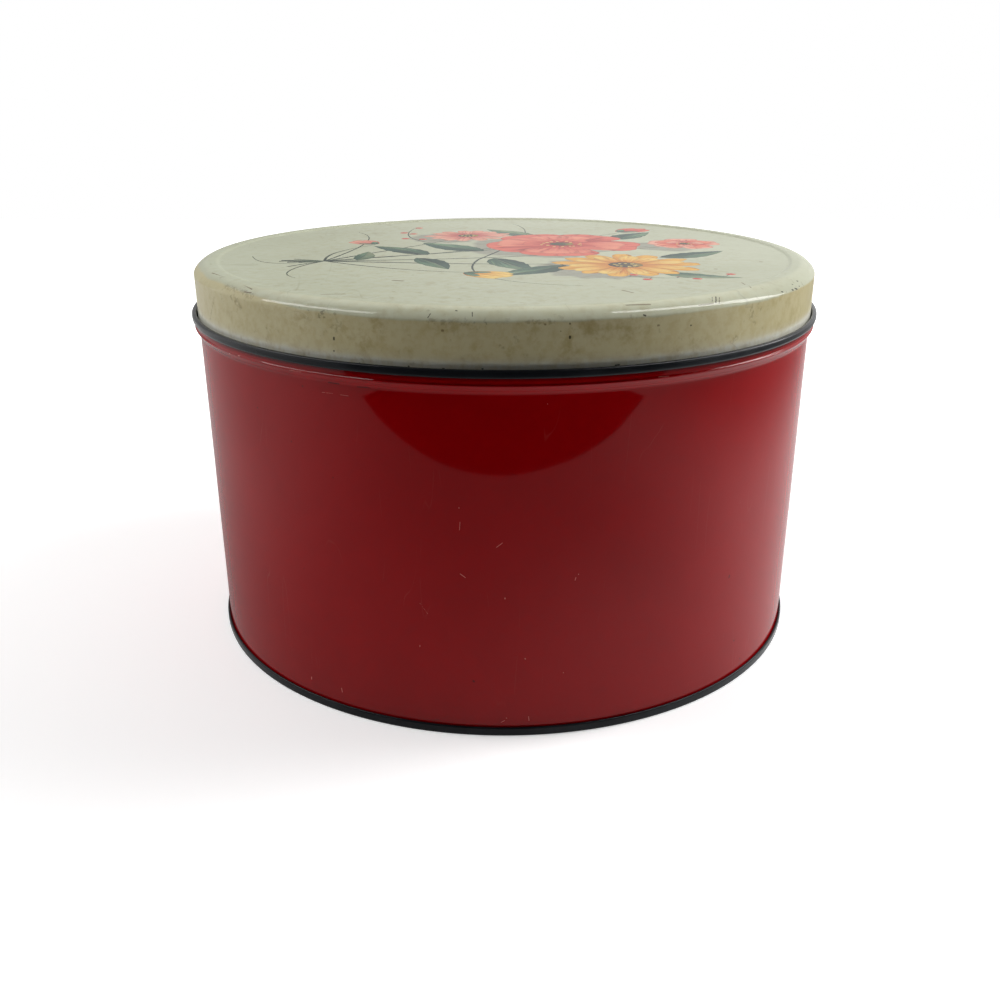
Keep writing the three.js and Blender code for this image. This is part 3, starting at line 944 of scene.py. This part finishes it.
def flower_spray():
    """All the shapes of the print, the lowest first: shadows, stems, leaves, then flowers."""
    flowers = []
    add_daisy(flowers, (-16, 50), 19, 0.3, ("pink", "pink"))
    add_poppy(flowers, (24, 22), 34, 0.9)
    add_daisy(flowers, (45, -33), 27, 0.1)
    add_poppy(flowers, (76, 24), 16, 0.2, ("pink", "coral_light"))
    add_bud(flowers, (-14, -50), -0.5, 19, "amber_light")
    add_bud(flowers, (52, 62), 0.75, 18, "coral")
    add_bud(flowers, (-54, 22), 2.3, 15, "pink")
    leaves = []
    pale = ("leaf_light", "sage")
    for leaf in (((-30, -8), 2.2, 34, 12), ((-34, -16), -0.95, 30, 11, -0.15),
                 ((-4, -16), -1.25, 34, 13, 0.1), ((-8, 2), 2.5, 36, 14, -0.1),
                 ((12, 44), 2.0, 34, 12, 0.2, pale), ((48, 36), 1.15, 30, 13, -0.2),
                 ((60, -14), 0.3, 32, 13, 0.25), ((22, -34), -2.2, 34, 14, -0.2),
                 ((56, -50), -0.7, 28, 11, 0.3, pale), ((-56, -22), 1.3, 22, 8, 0.2, pale)):
        add_leaf(leaves, *leaf)
    sheet = []
    for blot in (((-16, 50), 19, 13), ((24, 22), 33, 5), ((45, -33), 27, 13), ((76, 24), 16, 5)):
        add_blot(sheet, *blot)
    stems = (
        ((-20, 0), (20, 16), 2.0), ((0, -34), (42, -30), 1.8), ((-34, 20), (-16, 46), 1.4),
        ((30, -16), (70, 20), 1.4), ((-40, -46), (-12, -50), 1.2), ((10, 10), (52, 60), 1.3),
        ((-72, 0), (-54, 20), 1.1),
    )
    for index, (pull, finish, width) in enumerate(stems):
        # The stem's cut end, fanned out past the place where all the stems meet
        away = math.atan2(GATHER[1] - pull[1], GATHER[0] - pull[0]) / 2
        away += math.copysign(QUARTER, GATHER[1] - pull[1])
        cut = polar(GATHER, 14 + 4 * math.sin(2.4 * index), away)
        middle = ((GATHER[0] + cut[0]) / 2, (GATHER[1] + cut[1]) / 2)
        add_stem(sheet, cut, middle, GATHER, width, width, count=2)
        add_stem(sheet, GATHER, pull, finish, width)
    for start, pull, finish in (
            (GATHER, (-90, -40), (-98, -12)), (GATHER, (-84, -50), (-72, -62)),
            ((-10, -20), (-20, -70), (26, -78)), ((-10, -20), (20, 60), (4, 92)),
            (GATHER, (-50, 40), (-66, 60))):
        add_stem(sheet, start, pull, finish, 0.9, 0.3)
    add_berries(sheet, (-10, 10), (-50, 30), (-42, 74), 1.9)
    add_berries(sheet, (20, -30), (40, -76), (78, -56), 1.8)
    return sheet + leaves + flowers


def circle_grid(radius, spacing):
    """Points of an even triangular grid inside a circle."""
    points = []
    rows = int(radius / (spacing * ROW_SHARE))
    for row in range(-rows, rows + 1):
        y = row * spacing * ROW_SHARE
        reach = math.sqrt(max(0, radius * radius - y * y))
        x = -reach + (spacing / 2 if row % 2 else 0)
        while x <= reach:
            points.append((x, y))
            x += spacing
    return points


def shrink(outline, by):
    """The outline drawn in by about the given distance, or nothing where it is too narrow."""
    centre = (sum(x for x, _ in outline) / len(outline), sum(y for _, y in outline) / len(outline))
    inner = []
    for x, y in outline:
        away = math.hypot(x - centre[0], y - centre[1])
        if away < by * 1.5:
            return []
        share = 1 - by / away
        inner.append((centre[0] + (x - centre[0]) * share, centre[1] + (y - centre[1]) * share))
    return inner


def map_print(shapes, rim_points):
    """Triangles of the panel cut along every outline, each with the topmost shape over it."""
    points = list(rim_points)
    edges = [(k, (k + 1) % len(rim_points)) for k in range(len(rim_points))]
    loops = []
    for shape in shapes:
        loops.append(list(range(len(points), len(points) + len(shape.outline))))
        points += shape.outline
        inner = shrink(shape.outline, shape.rim)
        first = len(points)
        edges += [(first + k, first + (k + 1) % len(inner)) for k in range(len(inner))]
        points += inner
    points += circle_grid(math.hypot(*rim_points[0]) - PRINT_GRID, PRINT_GRID)
    flat = [Vector(point) for point in points]
    spots, _, triangles, from_verts, _, from_faces = geometry.delaunay_2d_cdt(
        flat, edges, loops, 0, 1e-4, True)
    tops = [max(source) if source else -1 for source in from_faces]
    return spots, triangles, tops, from_verts


def edge_distance(points, outline):
    """The distance of each point from a closed outline."""
    start = np.array(outline)
    along = np.roll(start, -1, axis=0) - start
    offset = points[:, None, :] - start[None, :, :]
    share = (offset * along).sum(axis=2) / np.maximum((along * along).sum(axis=1), 1e-12)
    away = offset - along * np.clip(share, 0, 1)[:, :, None]
    return np.sqrt((away * away).sum(axis=2)).min(axis=1)


def paint_print(mesh, first_loop, corners, tops, shapes):
    """Writes each corner's inks, its place in the brush stroke and its distance from the rim."""
    total = len(mesh.loops)
    ink = np.zeros((total, 4))
    tip = np.zeros((total, 4))
    brush = np.zeros((total, 3))
    edge = np.zeros((total, 3))
    for index, shape in enumerate(shapes):
        picked = np.flatnonzero(tops == index)
        if not len(picked):
            continue
        at = corners[picked]
        offset = at - np.array(shape.base)
        ahead = np.array((math.cos(shape.heading), math.sin(shape.heading)))
        aside = np.array((-ahead[1], ahead[0]))
        loops = picked + first_loop
        ink[loops], tip[loops] = INKS[shape.ink]
        brush[loops, 0] = offset @ ahead / shape.length
        brush[loops, 1] = offset @ aside / (shape.width / 2)
        brush[loops, 2] = shape.seed
        edge[loops, 0] = np.clip(edge_distance(at, shape.outline) / shape.rim, 0, 1)
        edge[loops, 1] = shape.soft
    for name, kind, key, values in (
            ("ink", "FLOAT_COLOR", "color", ink), ("tip_ink", "FLOAT_COLOR", "color", tip),
            ("brush", "FLOAT_VECTOR", "vector", brush), ("edge", "FLOAT_VECTOR", "vector", edge)):
        mesh.attributes.new(name, kind, "CORNER").data.foreach_set(key, values.ravel())


# Dents of the panel: the pixels of both ends, then half the width and the depth in millimetres
PANEL_DENTS = (
    (712, 274, 792, 266, 8, 0.22), (690, 300, 752, 284, 5, -0.16), (640, 262, 700, 246, 9, 0.14),
    (214, 276, 251, 288, 3, 0.14), (300, 262, 330, 284, 8, -0.12), (560, 292, 640, 296, 6, 0.12),
)


def panel_dent(x, y):
    """How far the pressed panel is off its plane: broad waves and a few dents, none at its rim."""
    fade = clamped((PANEL_RADIUS - math.hypot(x, y)) / PANEL_FADE) ** 2
    lift = wave(x * 17, y * 17, 3, 0.2) + wave(x * 46, y * 46, 8, 0.05)
    for start, along, half_width, depth in DENT_LINES:
        offset = Vector((x, y)) - start
        share = clamped(offset.dot(along) / along.length_squared)
        away = (offset - along * share).length
        lift -= depth * math.exp(-(away / half_width) ** 2)
    return lift * fade


def dent_lines():
    lines = []
    for x0, y0, x1, y1, half_width, depth in PANEL_DENTS:
        start, finish = on_lid(x0, y0).xy, on_lid(x1, y1).xy
        lines.append((start, finish - start, half_width * MM, depth * MM))
    return lines


DENT_LINES = dent_lines()


def lid_shape(r, h, azimuth, right):
    x, y = math.sin(azimuth), -math.cos(azimuth)
    if r < PANEL_RADIUS:
        return r, h + panel_dent(r * x, r * y)
    below = clamped((LID_TOP - SKIRT_FADE[0] - h) / SKIRT_FADE[1])
    return r + wave(x * 3.1, y * 3.1, h * 14, 0.14) * below, h


def make_lid():
    curl = (LID_CURL - LID_SHEET) / 2
    path = SheetPath(0, PANEL_TOP - LID_SHEET / 2, 0)
    path.to_radius(PANEL_RADIUS, PANEL_STEPS)
    panel_station = len(path.stations) - 1
    path.jog(PANEL_DROP_RUN, PANEL_DROP, CORNER_STEPS)
    path.to_radius(CROWN_START)
    path.bend(CROWN_RADIUS - LID_SHEET / 2, -CROWN_TURN, SHOULDER_STEPS)
    path.bend(SHOULDER_CORNER - LID_SHEET / 2, -SHOULDER_CORNER_TURN, CORNER_STEPS)
    path.to_height(LEDGE_TOP + LID_SEAT_GAP + LID_CURL / 2, 8)
    path.bend(curl, -CURL_TURN, CURL_STEPS)
    section, right_count = path.outline(LID_SHEET)
    panel_edge = len(section) - 1 - panel_station
    verts, faces, slots, rings = turn_section(
        section, right_count, False, even_azimuths(), lid_shape, stop=panel_edge)
    rim = rings[panel_edge]
    shapes = flower_spray()
    spots, triangles, tops, sources = map_print(
        shapes, [(verts[k][0] / MM, verts[k][1] / MM) for k in rim])
    index = []
    for spot, source in zip(spots, sources):
        on_rim = [k for k in source if k < len(rim)]
        if on_rim:
            index.append(rim[on_rim[0]])
            continue
        x, y = spot.x * MM, spot.y * MM
        index.append(len(verts))
        verts.append((x, y, PANEL_TOP + panel_dent(x, y)))
    first_loop = sum(len(face) for face in faces)
    faces += [[index[k] for k in triangle] for triangle in triangles]
    slots += [0] * len(triangles)
    lid = make_piece("lid_cap", verts, faces, slots)
    corners = np.array([spots[k][:2] for triangle in triangles for k in triangle])
    paint_print(lid.data, first_loop, corners, np.repeat(tops, 3), shapes)
    return lid


# Camera

def add_camera():
    data = bpy.data.cameras.new("camera")
    data.lens = CAMERA_LENS
    data.sensor_width = SENSOR_WIDTH
    data.shift_x, data.shift_y = CAMERA_SHIFT
    data.clip_start = 0.01
    camera = add_object("camera", data)
    camera.location = CAMERA_AT
    camera.rotation_euler = (QUARTER - CAMERA_PITCH, 0, 0)
    bpy.context.scene.camera = camera


# Studio: a pale floor, a plain backdrop, two soft boxes, and cards that only reflections see

FLOOR_REACH = 1.4
FLOOR_SHADE = 0.9
FLOOR_GLOW = 0.42
FLOOR_FADE = (0.2, 0.62)
CARD_LIFT = 0.5 * MM
CARD_FRONT = -0.376
BACK_CARD = (1.0, 0.9)
AIM = Vector((0, 0, 0.1))
FLAG_REACH, FLAG_PROFILE = 2.5, ((-1.4, 0), (-1.4, 1.2), (0.4, 1.5))
WORLD_FADE, WORLD_SHADES = (-0.5, 0.35), (0.075, 0.5)
NEAR_TURN, NEAR_SHADES = (-0.06, 0.175), (0.4, 1.03)
FAR_TURN, FAR_SHADES = (-0.3, 0.3), (0.67, 1.09)
FRONT_TURN, FRONT_SHADE = (0.144, 1.139), 0.24
NEAR_TO_FAR = (0.1, 0.326)
RIGHT_FADE, RIGHT_SHADE = (0.23, 0.526), 0.32
BACK_FADE, BACK_SHADES = (-0.3, 0.05), (0.42, 0.84)


def seen_directly(n):
    """1 for the rays that show the background: the camera's, and those in gloss and glass."""
    path = n.node("LightPath").outputs
    total = path["Is Camera Ray"]
    for kind in ("Is Glossy Ray", "Is Transmission Ray"):
        total = n.node("Math", total, path[kind], operation="ADD", use_clamp=True).outputs[0]
    return total


def add_sheet(name, corners, material):
    mesh = bpy.data.meshes.new(name)
    count = len(corners) // 2
    mesh.from_pydata(corners, [], [(k, k + 1, count + k + 1, count + k) for k in range(count - 1)])
    mesh.materials.append(material)
    sheet = add_object(name, mesh)
    return sheet


def floor_material():
    """White to the rays that show the background, but for the shade about the tin's foot."""
    material = bpy.data.materials.new("floor")
    material.use_nodes = True
    material.node_tree.nodes.clear()
    n = Nodes(material.node_tree)
    lit = n.node("BsdfDiffuse", (FLOOR_SHADE, FLOOR_SHADE, FLOOR_SHADE, 1)).outputs[0]
    away = n.vector("LENGTH", n.node("TexCoord").outputs["Object"], out="Value")
    strength = n.times(seen_directly(n), n.ramp(away, *FLOOR_FADE, FLOOR_GLOW, 1))
    glow = n.fill(n.node("Emission"), Strength=strength)
    n.node("OutputMaterial", n.node("AddShader", lit, glow).outputs[0])
    return material


def card(name, strength=1):
    """A card that gives its own plain light, whatever the lamps do."""
    return Shader(name, Base_Color=(0, 0, 0, 1), Roughness=1, Specular_IOR_Level=0,
                  Emission_Color=(1, 1, 1, 1), Emission_Strength=strength)


def floor_card_material():
    """A glowing card with the floor's painted light and shade for reflections: lighter to the right, darker
    in front of the camera, dimmer far to the right.
    """
    s = card("floor_card")
    x, y, _ = s.split()
    reach = s.vector("LENGTH", s.position, out="Value")
    front = s.math("DIVIDE", s.times(y, -1), reach)
    near = s.ramp(x, *NEAR_TURN, *NEAR_SHADES)
    far = s.times(s.ramp(x, *FAR_TURN, *FAR_SHADES), s.ramp(front, *FRONT_TURN, 1, FRONT_SHADE))
    shade = s.fill(s.node("Mix"), "Result", Factor=s.ramp(reach, *NEAR_TO_FAR), A=near, B=far)
    return s.drive(Emission_Color=s.times(shade, s.ramp(x, *RIGHT_FADE, 1, RIGHT_SHADE)))


def back_card_material():
    # A glowing card seen only in reflections: painted light, dimmer to the left
    s = card("back_card")
    return s.drive(Emission_Color=s.ramp(s.split()[0], *BACK_FADE, *BACK_SHADES))


def add_card(name, corners, material, in_diffuse=False):
    sheet = add_sheet(name, corners, material)
    sheet.visible_camera = False
    sheet.visible_diffuse = in_diffuse
    sheet.visible_shadow = False


def add_world():
    world = bpy.data.worlds.new("studio")
    bpy.context.scene.world = world
    world.use_nodes = True
    n = Nodes(world.node_tree)
    toward_back = n.node("SeparateXYZ", n.node("TexCoord").outputs["Generated"]).outputs["Y"]
    light = n.ramp(toward_back, *WORLD_FADE, *WORLD_SHADES)
    strength = n.fill(n.node("Mix"), "Result", Factor=seen_directly(n), A=light, B=1)
    n.fill(n.tree.nodes["Background"], Color=(1, 1, 1, 1), Strength=strength)


def aimed(at, roll):
    """The turn of a lamp or card at a place that faces the tin and is rolled about its view."""
    return (AIM - Vector(at)).to_track_quat("-Z", "Y") @ Quaternion((0, 0, 1), roll)


def add_strip(name, at, size, brightness, roll):
    """A bright strip that only reflections see."""
    turn = aimed(at, roll)
    corners = [Vector(at) + turn @ Vector((x * size[0] / 2, y * size[1] / 2, 0))
               for y in (-1, 1) for x in (-1, 1)]
    add_card(name, corners, card(name, brightness).material)


def add_softbox(name, at, size, radiance, roll):
    data = bpy.data.lights.new(name, "AREA")
    data.shape = "RECTANGLE"
    data.size, data.size_y = size
    data.energy = radiance * math.pi * size[0] * size[1]
    lamp = add_object(name, data)
    lamp.location = at
    lamp.rotation_euler = aimed(at, roll).to_euler()
    lamp.visible_glossy = False


add_camera()
bare = tinplate()
black = black_lacquer()
dress(make_wall(), "tin", "body_shell", "red_enamel", red_enamel(), bare)
dress(make_bottom(), "tin", "bottom_end", "black_lacquer", black, bare)
dress(make_ring(), "tin", "neck_ring", "black_lacquer", black, bare)
dress(make_lid(), "lid", "lid", "cream_enamel", cream_enamel(), bare)

sides = (-FLOOR_REACH, FLOOR_REACH)
back, tall = BACK_CARD
dark_card = card("dark_card", 0).material
add_sheet("floor", [(x, y, 0) for y in sides for x in sides], floor_material())
add_card("floor_card", [(x, y, CARD_LIFT) for y in (CARD_FRONT, FLOOR_REACH) for x in sides],
         floor_card_material())
add_card("front_card", [(x, y, CARD_LIFT) for y in (-FLOOR_REACH, CARD_FRONT) for x in sides],
         dark_card, True)
add_card("front_flag", [(x, y, z) for x in (-FLAG_REACH, FLAG_REACH) for y, z in FLAG_PROFILE],
         dark_card)
add_card("back_card", [(x, back, z) for z in (0, tall) for x in sides], back_card_material())
add_world()
add_softbox("key", (0.806, 0.19, 0.64), (0.33, 0.84), 10.3, 0.38)
add_softbox("fill", (-0.66, -0.03, 0.77), (0.34, 0.6), 5.4, -0.45)
add_strip("key_strip", (0.75, 0.123, 0.75), (0.17, 1.12), 10.3, 0.38)
add_strip("fill_strip", (-0.64, -0.017, 0.78), (0.58, 0.12), 7.2, 0.7)

bpy.context.scene.view_settings.view_transform = "Standard"
